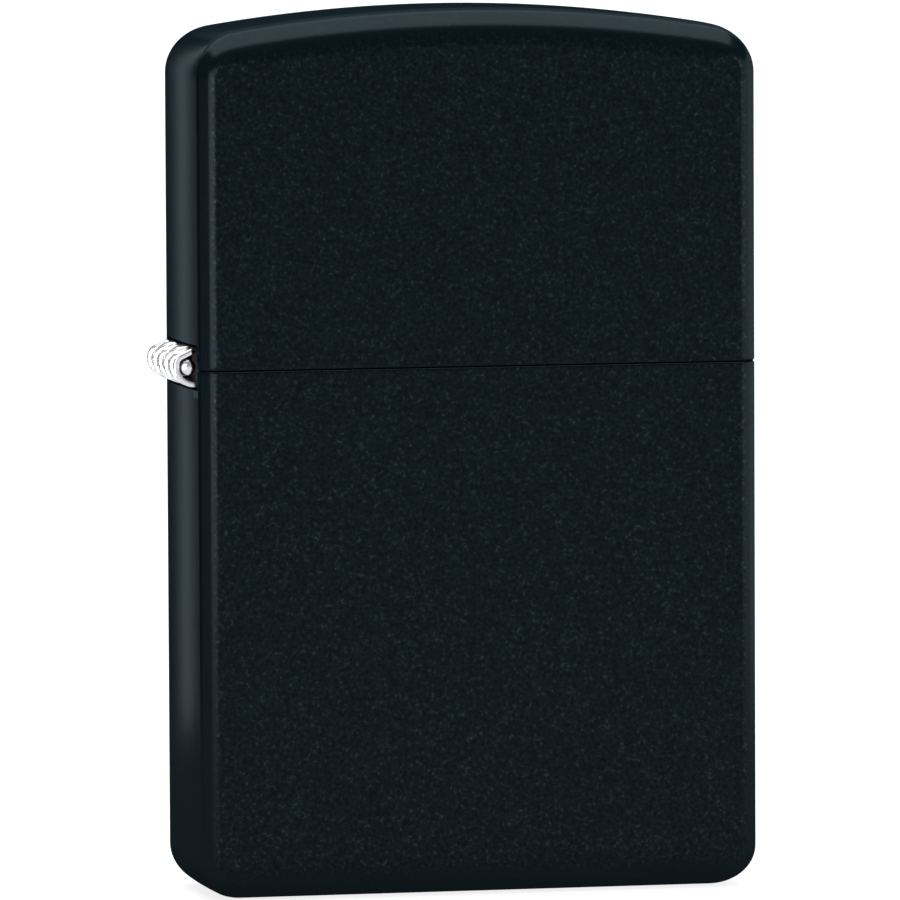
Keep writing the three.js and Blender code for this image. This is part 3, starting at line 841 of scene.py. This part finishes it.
def flint_spring():
    """A coil spring, its end turns closed up."""
    low = SPRING_LOW.z + SPRING_WIRE
    high = SPRING_HIGH.z - SPRING_WIRE
    steps = 28
    points = []
    for i in range(SPRING_TURNS * steps + 1):
        share = i / (SPRING_TURNS * steps)
        closed = share - math.sin(2 * math.pi * share) * 0.09
        turn = 2 * math.pi * i / steps
        x = WHEEL.x + SPRING_RADIUS * math.cos(turn)
        points.append(Vector((x, SPRING_RADIUS * math.sin(turn), low + (high - low) * closed)))
    return tube("flint_spring_coil", points, SPRING_WIRE, 10)


def flint_screw():
    """The screw that holds the spring in: a wide slotted head and a plain shank."""
    head_top = SCREW_LOW.z + SCREW_HEAD_HEIGHT
    steps = [(SCREW_HEAD_RADIUS, SCREW_LOW.z, head_top), (FLINT_RADIUS, head_top, SCREW_HIGH.z)]
    screw = turned("flint_screw_brass", steps, 0.25)
    reach = SCREW_HEAD_RADIUS + 1
    slot = ((WHEEL.x - reach, -0.4, SCREW_LOW.z - 1), (WHEEL.x + reach, 0.4, SCREW_LOW.z + 0.7))
    boolean(screw, block(*slot))
    return soften(screw, 0.05)


def link_outline(start, start_radius, end, end_radius):
    """Two circles and the straight belt round them."""
    start, end = map(Vector, (start, end))
    heading = math.degrees(math.atan2(end.y - start.y, end.x - start.x))
    spread = math.degrees(math.acos((start_radius - end_radius) / (end - start).length))
    return [
        *arc(start.x, start.y, start_radius, heading + spread, heading + 360 - spread, 24),
        *arc(end.x, end.y, end_radius, heading - spread, heading + spread, 14),
    ]


def cam_lever():
    """The cam: a nose that the lid rides over, and a heel that the leaf spring presses on."""
    hub = (CAM.x, CAM.z)
    near = -CAM_WIDTH / 2
    nose = link_outline(hub, 1.55, (CAM.x - 3.8, CAM.z - 1.65), 0.75)
    heel = link_outline(hub, 1.549, (CAM.x + 1, CAM.z - 1.5), 0.6)
    lever = extrude_outline("cam_lever_steel", nose, near, CAM_WIDTH)
    boolean(lever, extrude_outline("heel", heel, near, CAM_WIDTH), "UNION")
    boolean(lever, rod(CAM_PIN_RADIUS + RUNNING_GAP, (CAM.x, -CAM_WIDTH, CAM.z), 2 * CAM_WIDTH))
    return soften(lever, 0.14, segments=3)


def cam_spring():
    """A leaf spring that lies on the can's top and presses up under the cam."""
    rest = CAN_HIGH.z + SEAT + CAM_SPRING_SHEET / 2
    flat = [(CAM_RIVET_X + offset, rest) for offset in (1.9, 0.9, -0.9, -2.2)]
    raised = (CAM.x + 0.5, rest + 0.5)
    rise = bezier(flat[-1], (SCREEN_LEFT - 0.5, rest), (CAM.x + 2.4, rest + 0.55), raised, 16)
    hook = bend(rise[-1], (CAM.x - 0.7, rest + 0.46), (CAM.x - 1.4, rest + 0.1), 10)
    path = [Vector((x, 0, z)) for x, z in without_repeats([*flat, *rise, *hook])]
    spring = sheet_strip("cam_spring_leaf", path, CAM_SPRING_SHEET, CAM_SPRING_WIDTH, 0.05)
    boolean(spring, rod(CAM_RIVET_RADIUS + SEAT, (CAM_RIVET_X, 0, CAN_HIGH.z - 1), 3, (0, 0, 1)))
    return weight_normals(spring)


def cam_spring_rivet():
    head = CAN_HIGH.z + CAM_SPRING_SHEET + 2 * SEAT
    tail = CAN_HIGH.z - CAN_WALL - SEAT
    profile = [
        (0, tail - 0.35), (0.8, tail - 0.35), (1.05, tail - 0.15), (1.05, tail),
        (CAM_RIVET_RADIUS, tail), (CAM_RIVET_RADIUS, head),
        (1.1, head), (1.07, head + 0.12), (0.95, head + 0.25),
        (0.7, head + 0.35), (0.35, head + 0.39), (0, head + 0.4),
    ]
    return lathe("cam_spring_rivet_steel", profile, (CAM_RIVET_X, 0, 0), segments=40)


def wick_line(z):
    """The wick's middle: straight where it stands up, gently waved among the packing."""
    sway = math.sin((z - PACKING_TOP) / WICK_WAVE * math.pi) if z < PACKING_TOP else 0
    return Vector((WICK_X + WICK_SWAY * sway, 0, z))


def wick():
    """A round braid: as many strands turn left as right, each passing over and under the others."""
    strand = 0.27
    weave = 0.09
    base = WICK_RADIUS - strand - weave
    steps = 190
    pieces = []
    for direction in (-1, 1):
        for k in range(WICK_STRANDS):
            top = WICK_HIGH.z - 0.12 * ((k * 2 + direction) % 5)
            path = []
            for i in range(steps + 1):
                z = WICK_LOW.z + (top - WICK_LOW.z) * i / steps
                turn = 2 * math.pi * (direction * z / WICK_PITCH + k / WICK_STRANDS)
                lift = direction * weave * math.cos(2 * math.pi * WICK_STRANDS * z / WICK_PITCH)
                out = Vector((math.cos(turn), math.sin(turn), 0)) * (base + lift)
                path.append(wick_line(z) + out)
            sizes = [strand] * (steps - 1) + [strand * 0.85, strand * 0.4]
            pieces.append(tube("strand", path, sizes, 8))
    core = [wick_line(WICK_LOW.z + 0.3 + (WICK_HIGH.z - 0.9 - WICK_LOW.z) * i / 60) for i in range(61)]
    pieces.append(tube("core", core, base, 16))
    return merged("wick_braid", pieces)


def matted(piece, grain, rounds, dip, size):
    """Turns a piece into evenly meshed cotton or felt, its surface sunk and rippled by soft lumps."""
    modified(piece, "REMESH", mode="VOXEL", voxel_size=grain * MM)
    modified(piece, "SMOOTH", iterations=rounds)
    for vertex in piece.data.vertices:
        lumps = noise.noise(vertex.co / (size * MM)) + 0.5 * noise.noise(vertex.co / (size * 0.4 * MM))
        vertex.co -= vertex.normal * dip * (1 + lumps) * MM
    return shade_smooth(piece)


def swollen(value, power):
    return math.copysign(abs(value) ** power, value)


def packing_wad(name):
    """A soft wad of cotton, with a channel for the wick and one for the flint tube."""
    low, high = limits(name)
    middle = (low + high) / 2
    half = (high - low) / 2 * 0.985
    work = bmesh.new()
    bmesh.ops.create_icosphere(work, subdivisions=5, radius=1)
    for vertex in work.verts:
        x, y, z = vertex.co.normalized()
        offset = Vector((half.x * swollen(x, 0.5), half.y * swollen(y, 0.5), half.z * swollen(z, 0.6)))
        vertex.co = (middle + offset) * MM
    wad = from_work(work, name + "_cotton")
    length = high.z - low.z + 2
    channel = [wick_line(low.z - 1 + length * i / 14) for i in range(15)]
    boolean(wad, tube("channel", channel, WICK_RADIUS + 0.35, 24))
    boolean(wad, rod(TUBE_RADIUS + 0.35, (WHEEL.x, 0, low.z - 1), length, (0, 0, 1)))
    return matted(wad, 0.4, 3, 0.1, 1.7)


def felt_pad():
    """The felt flap over the packing, its cut edges slightly rounded."""
    rounding = edge_steps(0.4, 5)
    levels = [(inset, PAD_LOW.z + rise) for inset, rise in rounding[::-1]]
    levels += [(inset, PAD_HIGH.z - drop) for inset, drop in rounding]
    pad = loft("felt_flap", [box_loop(PAD_LOW, PAD_HIGH, PAD_CORNER, *level) for level in levels])
    height = PAD_HIGH.z - PAD_LOW.z + 2
    boolean(pad, rod(SCREW_HEAD_RADIUS + 0.3, (WHEEL.x, 0, PAD_LOW.z - 1), height, (0, 0, 1)))
    return matted(pad, 0.3, 4, 0.04, 1.3)


# ---- Materials ----

MIX_COLOURS = (6, 7)  # a Mix node's colour inputs, among those for its other kinds of data
MIX_RESULT = 2


class Nodes:
    """Short-hand for building a material's node tree; a (node, output) pair is a source to join from."""

    def __init__(self, name):
        self.material = bpy.data.materials.new(name)
        self.material.use_nodes = True
        self.tree = self.material.node_tree
        self.tree.nodes.clear()
        self.output = self.add("ShaderNodeOutputMaterial")
        self.shader = self.add("ShaderNodeBsdfPrincipled")
        self.join((self.shader, "BSDF"), self.output, "Surface")

    def add(self, kind, **values):
        node = self.tree.nodes.new(kind)
        for key, value in values.items():
            if key in node.inputs:
                node.inputs[key].default_value = value
            else:
                setattr(node, key, value)
        return node

    def join(self, source, target, socket):
        """Joins a source, or gives a plain value, to a socket of the target."""
        if isinstance(source, tuple) and isinstance(source[0], bpy.types.Node):
            self.tree.links.new(source[0].outputs[source[1]], target.inputs[socket])
        elif source is not None:
            target.inputs[socket].default_value = source

    def set(self, **values):
        for key, value in values.items():
            self.join(value, self.shader, key.replace("_", " "))

    def place(self, stretch=(1, 1, 1)):
        """Object coordinates in millimetres, stretched by a factor along each axis."""
        mapping = self.add("ShaderNodeMapping", Scale=[1 / MM / factor for factor in stretch])
        self.join((self.add("ShaderNodeTexCoord"), "Object"), mapping, "Vector")
        return mapping, "Vector"

    def split(self, vector):
        parts = self.add("ShaderNodeSeparateXYZ")
        self.join(vector, parts, "Vector")
        return [(parts, axis) for axis in "XYZ"]

    def noise(self, size, detail, roughness, stretch=(1, 1, 1), distortion=0):
        """Noise whose features are about size millimetres across, longer where they are stretched."""
        values = {"Scale": 1 / size, "Detail": detail, "Roughness": roughness, "Distortion": distortion}
        node = self.add("ShaderNodeTexNoise", **values)
        self.join(self.place(stretch), node, "Vector")
        return node, "Fac"

    def ramp(self, source, low, high, low_value=0.0, high_value=1.0):
        """Maps a range to another one, without going past its ends."""
        values = {"From Min": low, "From Max": high, "To Min": low_value, "To Max": high_value}
        node = self.add("ShaderNodeMapRange", **values)
        self.join(source, node, "Value")
        return node, "Result"

    def calculate(self, operation, first, second=None):
        node = self.add("ShaderNodeMath", operation=operation)
        self.join(first, node, 0)
        self.join(second, node, 1)
        return node, "Value"

    def mix(self, share, first, second):
        """A colour between two."""
        node = self.add("ShaderNodeMix", data_type="RGBA")
        self.join(share, node, "Factor")
        for colour, socket in zip((first, second), MIX_COLOURS):
            self.join(colour if len(colour) == 2 else (*colour, 1), node, socket)
        return node, MIX_RESULT

    def bump(self, source, height, strength=1.0, after=None):
        """Bump of a height in millimetres, added to an earlier bump."""
        node = self.add("ShaderNodeBump", Distance=height * MM, Strength=strength)
        self.join(source, node, "Height")
        self.join(after, node, "Normal")
        return node, "Normal"


def coating():
    """Matte blue-black paint; the broad faces show its fine grain, with a bright fleck here and there."""
    nodes = Nodes("matte_coating")
    grain = nodes.noise(GRAIN_SIZE, 1.5, 0.5)
    facing = nodes.split((nodes.add("ShaderNodeTexCoord"), "Normal"))
    broad = nodes.ramp(nodes.calculate("ABSOLUTE", facing[1]), 0.9, 0.99, 0.15, 1.0)
    body = nodes.ramp(grain, 0.3, 0.7, -0.3, 0.3)
    fleck = nodes.ramp(grain, 0.63, 0.8, 0.0, 1.7)
    uneven = nodes.calculate("MULTIPLY", nodes.calculate("ADD", body, fleck), broad)
    gain = nodes.calculate("ADD", uneven, 1.0)
    bump = nodes.bump(nodes.calculate("MULTIPLY", grain, broad), 0.004)

    def scaled(colour):
        node = nodes.add("ShaderNodeVectorMath", operation="SCALE", Vector=colour)
        nodes.join(gain, node, "Scale")
        return node, "Vector"

    nodes.set(Base_Color=scaled(PAINT_COLOUR), Roughness=0.6, Specular_IOR_Level=0.0, Normal=bump)
    gloss = nodes.add("ShaderNodeBsdfGlossy", Roughness=PAINT_ROUGHNESS)
    nodes.join(scaled(PAINT_GLOSS), gloss, "Color")
    nodes.join(bump, gloss, "Normal")
    together = nodes.add("ShaderNodeAddShader")
    nodes.join((nodes.shader, "BSDF"), together, 0)
    nodes.join((gloss, "BSDF"), together, 1)
    nodes.join((together, "Shader"), nodes.output, "Surface")
    return nodes.material


def overspray_brass():
    """The case's bare brass inside, with a dark haze of paint that thins out away from the rim."""
    nodes = Nodes("raw_inside")
    clouds = nodes.noise(3.5, 6, 0.65)
    drawn = nodes.noise(0.22, 3, 0.6, (1, 1, 25))
    tarnish = nodes.ramp(clouds, 0.35, 0.7)
    brass = nodes.mix(tarnish, (0.42, 0.30, 0.12), (0.22, 0.14, 0.06))
    from_rim = nodes.calculate("ABSOLUTE", nodes.calculate("SUBTRACT", nodes.split(nodes.place())[2], PIN.z))
    reach = nodes.calculate("ADD", from_rim, nodes.ramp(clouds, 0.3, 0.7, -2.2, 2.2))
    bare = nodes.ramp(reach, 0.8, 4.5)
    nodes.set(
        Base_Color=nodes.mix(bare, (0.012, 0.014, 0.016), brass),
        Metallic=nodes.ramp(bare, 0, 1, 0.15, 1.0),
        Roughness=nodes.ramp(drawn, 0.3, 0.7, 0.3, 0.52),
        Normal=nodes.bump(drawn, 0.006, 0.6),
    )
    return nodes.material


def worked_metal(name, clean, dull, smooth, rough, brush, stroke, relief=0.004):
    """Bare metal: brush strokes, a soft cloudy film of handling, and a few fine scratches.

    clean and dull are colours, smooth and rough roughnesses; brush stretches the strokes along axes.
    """
    nodes = Nodes(name)
    clouds = nodes.noise(3.0, 6, 0.62, distortion=0.3)
    strokes = nodes.noise(stroke, 4, 0.65, brush)
    film = nodes.ramp(clouds, 0.38, 0.68)
    from_strokes = nodes.ramp(strokes, 0.3, 0.7, smooth, (smooth + rough) / 2)
    from_film = nodes.ramp(film, 0, 1, 0, (rough - smooth) / 2)
    cells = nodes.add("ShaderNodeTexVoronoi", feature="DISTANCE_TO_EDGE", Scale=1 / 2.6)
    nodes.join(nodes.place((1, 1.3, 2.4)), cells, "Vector")
    scratch = nodes.ramp((cells, "Distance"), 0.0, 0.012)
    nodes.set(
        Base_Color=nodes.mix(film, clean, dull),
        Metallic=1.0,
        Roughness=nodes.calculate("ADD", from_strokes, from_film),
        Normal=nodes.bump(scratch, 0.0025, 0.35, nodes.bump(strokes, relief, 0.7)),
    )
    return nodes.material


def spring_steel():
    return worked_metal("spring_steel", (0.34, 0.34, 0.35), (0.23, 0.22, 0.21), 0.22, 0.44, (6, 1, 1), 0.08)


def wheel_steel():
    """Hardened steel, dark from the furnace, worn bright on the tips of its teeth."""
    nodes = Nodes("wheel_steel")
    x, _, z = nodes.split(nodes.place())
    sides = [nodes.calculate("SUBTRACT", value, centre) for value, centre in ((x, WHEEL.x), (z, WHEEL.z))]
    squares = [nodes.calculate("MULTIPLY", side, side) for side in sides]
    radius = nodes.calculate("SQRT", nodes.calculate("ADD", *squares))
    grit = nodes.noise(0.12, 5, 0.7)
    reach = nodes.calculate("ADD", radius, nodes.ramp(grit, 0.3, 0.7, -0.07, 0.07))
    worn = nodes.ramp(reach, WHEEL_RADIUS - 0.16, WHEEL_RADIUS)
    nodes.set(
        Base_Color=nodes.mix(worn, (0.075, 0.07, 0.068), (0.42, 0.42, 0.43)),
        Metallic=1.0,
        Roughness=nodes.ramp(grit, 0.3, 0.7, 0.32, 0.6),
        Normal=nodes.bump(grit, 0.02, 0.8),
    )
    return nodes.material


def flint_alloy():
    """Pressed alloy: dark grey, crumbly and barely shiny."""
    nodes = Nodes("flint_alloy")
    grit = nodes.noise(0.18, 6, 0.75)
    shade = nodes.ramp(grit, 0.35, 0.65)
    colour = nodes.mix(shade, (0.06, 0.056, 0.05), (0.17, 0.16, 0.145))
    nodes.set(Base_Color=colour, Metallic=0.6, Roughness=0.62, Normal=nodes.bump(grit, 0.04, 0.9))
    return nodes.material


def fibre(name, light, dark, size, stretch, relief, sheen):
    """Cotton or felt: fine matted fibres, with painted shade where they sink, over a slightly uneven colour.
    """
    nodes = Nodes(name)
    clouds = nodes.noise(2.5, 4, 0.6)
    hairs = nodes.noise(size, 5, 0.75, stretch, 1.2)
    crossing = nodes.noise(size * 1.3, 4, 0.7, stretch[::-1], 1.6)
    matted_hairs = nodes.calculate("MULTIPLY", hairs, crossing)
    # painted shade: the colour turns dark where the fibre texture is low, the same places that the bump
    # sinks
    colour = nodes.mix(nodes.ramp(matted_hairs, 0.14, 0.36, 1.0, 0.0), light, dark)
    nodes.set(
        Base_Color=nodes.mix(nodes.ramp(clouds, 0.35, 0.75, 0.0, 0.35), colour, dark),
        Roughness=0.95,
        Specular_IOR_Level=0.15,
        Sheen_Weight=sheen,
        Normal=nodes.bump(matted_hairs, relief, 0.9),
    )
    return nodes.material


def finish_with(piece, *materials):
    piece.data.materials.clear()
    for material in materials:
        piece.data.materials.append(material)
    return piece


# ---- Stage: camera, floor and lights ----

def make_camera():
    """A long lens, a little to the left and a little above."""
    turns = ((-12.5, "Z"), (90 - 4.5, "X"), (-0.263, "Z"))  # azimuth, elevation, roll
    distance = 722
    matrix = Matrix.Translation(Vector((0, 0, TOTAL_HEIGHT / 2 - 0.3)) * MM)
    for degrees, axis in turns:
        matrix = matrix @ Matrix.Rotation(math.radians(degrees), 4, axis)
    data = bpy.data.cameras.new("camera")
    data.lens = 441.7
    data.sensor_width = 36
    data.shift_x = -0.0116
    data.shift_y = 0.0008
    data.clip_start = 0.05
    data.clip_end = 100
    camera = linked("camera", data)
    camera.matrix_world = matrix @ Matrix.Translation((0, 0, distance * MM))
    bpy.context.scene.camera = camera


def staged_card(name, corners, material):
    card = linked(name, plain_mesh(name, corners, [(0, 1, 2, 3)]))
    finish_with(card, material)
    return card


def make_floor():
    """A light table: white paper, lit from below as well as from above."""
    reach = 15
    corners = [(-reach, -reach, 0), (reach, -reach, 0), (reach, reach, 0), (-reach, reach, 0)]
    nodes = Nodes("white_floor")
    nodes.set(Base_Color=(0.12, 0.12, 0.12, 1), Roughness=0.9, Specular_IOR_Level=0.1)
    nodes.set(Emission_Color=(1, 1, 1, 1), Emission_Strength=0.82)
    staged_card("floor", corners, nodes.material)


def softbox(name, place, width, height, brightness):
    """An area light that faces the lighter; brightness is its radiance, whatever its size."""
    data = bpy.data.lights.new(name, "AREA")
    data.shape = "RECTANGLE"
    data.size = width
    data.size_y = height
    data.energy = brightness * width * height * math.pi
    lamp = linked(name, data)
    lamp.location = place
    lamp.rotation_mode = "QUATERNION"
    lamp.rotation_quaternion = Vector((place[0], place[1], place[2] - 0.03)).to_track_quat("Z", "Y")
    lamp.visible_camera = False


def flag():
    """A dark card behind and to the left, which keeps that side dark on both sides of its strip of light."""
    corners = [(-0.16, 0.06, 0), (-0.02, 0.13, 0), (-0.02, 0.13, 0.1), (-0.16, 0.06, 0.1)]
    nodes = Nodes("black_card")
    nodes.set(Base_Color=(0.25, 0.25, 0.25, 1), Roughness=1.0, Specular_IOR_Level=0)
    staged_card("flag", corners, nodes.material).visible_camera = False


def make_lights():
    softbox("overhead", (0, 0.33, 2.2), 3.0, 3.0, 6.2)
    softbox("back_top", (0, 1.3, 0.95), 2.4, 1.3, 3.0)
    softbox("front_left", (-0.094, -0.19, 0.05), 0.14, 0.1, 5.6)
    softbox("back_left", (-0.0438, 0.0976, 0.045), 0.0085, 0.1, 19.0)
    softbox("right", (0.125, 0.034, 0.05), 0.15, 0.1, 3.6)
    softbox("front_right", (0.126, -0.0985, 0.05), 0.147, 0.1, 2.5)
    flag()
    world = bpy.data.worlds.new("studio")
    world.use_nodes = True
    background = world.node_tree.nodes["Background"]
    background.inputs["Color"].default_value = (1, 1, 1, 1)
    background.inputs["Strength"].default_value = 0.45
    bpy.context.scene.world = world
    bpy.context.scene.view_settings.view_transform = "Standard"


# ---- Assembly ----

def put(piece, body, slot, nodes, *materials):
    """Gives a piece its finish and its place in the frame."""
    finish_with(piece, *materials)
    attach(piece, body)
    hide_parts(*nodes)
    return piece


def assemble_case():
    paint = coating()
    inside = overspray_brass()
    chrome = ((0.66, 0.66, 0.68), (0.46, 0.46, 0.48), 0.1, 0.24)
    bright = worked_metal("bright_chrome", *chrome, (1, 6, 1), 0.09)
    case, lid = case_halves()
    put(case, "case", "coating", ["case_bottom"], paint, inside)
    put(lid, "lid", "coating", ["case_lid"], paint, inside)
    for body, first_knuckle, flip in (("case", 0, 1), ("lid", 1, -1)):
        for piece in hinge_leaf(body, first_knuckle, flip):
            put(piece, body, "hinge_chrome", [f"hinge_{body}_leaf"], bright)
    put(hinge_pin(), "case", "hinge_chrome", ["hinge_pin"], bright)


def assemble_insert():
    nickel = ((0.37, 0.365, 0.35), (0.26, 0.255, 0.24), 0.2, 0.42)
    can_metal = worked_metal("can_nickel", *nickel, (14, 14, 1), 0.07)
    screen_metal = worked_metal("screen_nickel", *nickel, (1, 1, 12), 0.07)
    rivets = worked_metal("rivet_steel", (0.42, 0.42, 0.43), (0.29, 0.28, 0.27), 0.2, 0.4, (1, 1, 1), 0.14)
    lever_metal = worked_metal("cam_steel", (0.3, 0.3, 0.31), (0.2, 0.19, 0.18), 0.26, 0.5, (1, 9, 1), 0.09)
    put(insert_body(), "case", "insert_nickel", ["insert_body"], can_metal)
    put(windscreen(), "case", "insert_nickel", ["windscreen"], screen_metal)
    wheel_sizes = (WHEEL, AXLE_RADIUS, 1.35, WHEEL_EAR_DEPTH, 0.45)
    cam_sizes = (CAM, CAM_PIN_RADIUS, 1.2, CAM_EAR_DEPTH, 0.4)
    for node, sizes in (("wheel_rivet", wheel_sizes), ("cam_rivet", cam_sizes)):
        put(rivet_across(node + "_steel", *sizes), "case", "rivet_steel", [node], rivets)
    put(cam_spring_rivet(), "case", "rivet_steel", ["cam_spring_rivet"], rivets)
    put(cam_spring(), "case", "spring_steel", ["cam_spring"], spring_steel())
    put(cam_lever(), "cam", "cam_steel", ["cam_lever"], lever_metal)
    put(spark_wheel(), "spark_wheel", "wheel_steel", ["spark_wheel"], wheel_steel())


def assemble_flint():
    metal = worked_metal("turned_brass", (0.46, 0.33, 0.13), (0.3, 0.2, 0.08), 0.2, 0.42, (8, 8, 1), 0.06)
    put(flint_tube(), "case", "brass", ["flint_tube"], metal)
    put(flint_screw(), "case", "brass", ["flint_screw"], metal)
    put(spring_plunger(), "flint_stack", "brass", ["spring_plunger"], metal)
    put(flint(), "flint_stack", "flint_alloy", ["flint"], flint_alloy())
    spring = put(flint_spring(), "case", "spring_steel", ["flint_spring"], spring_steel())
    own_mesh(spring)


def assemble_cotton():
    braid = fibre("wick_cotton", (0.62, 0.59, 0.51), (0.42, 0.38, 0.3), 0.09, (1, 1, 3), 0.05, 0.3)
    put(wick(), "case", "wick_cotton", ["wick"], braid)
    cotton = fibre("packing_cotton", (0.68, 0.65, 0.58), (0.48, 0.44, 0.37), 0.16, (1, 5, 2), 0.12, 0.4)
    for node in PACKING_NODES:
        wad = put(packing_wad(node), "case", "packing_cotton", [node], cotton)
    felt = fibre("felt", (0.52, 0.49, 0.42), (0.34, 0.31, 0.26), 0.12, (3, 1, 3), 0.07, 0.3)
    pad = put(felt_pad(), "case", "felt", ["felt_pad"], felt)


make_camera()
make_floor()
make_lights()
assemble_case()
assemble_insert()
assemble_flint()
assemble_cotton()
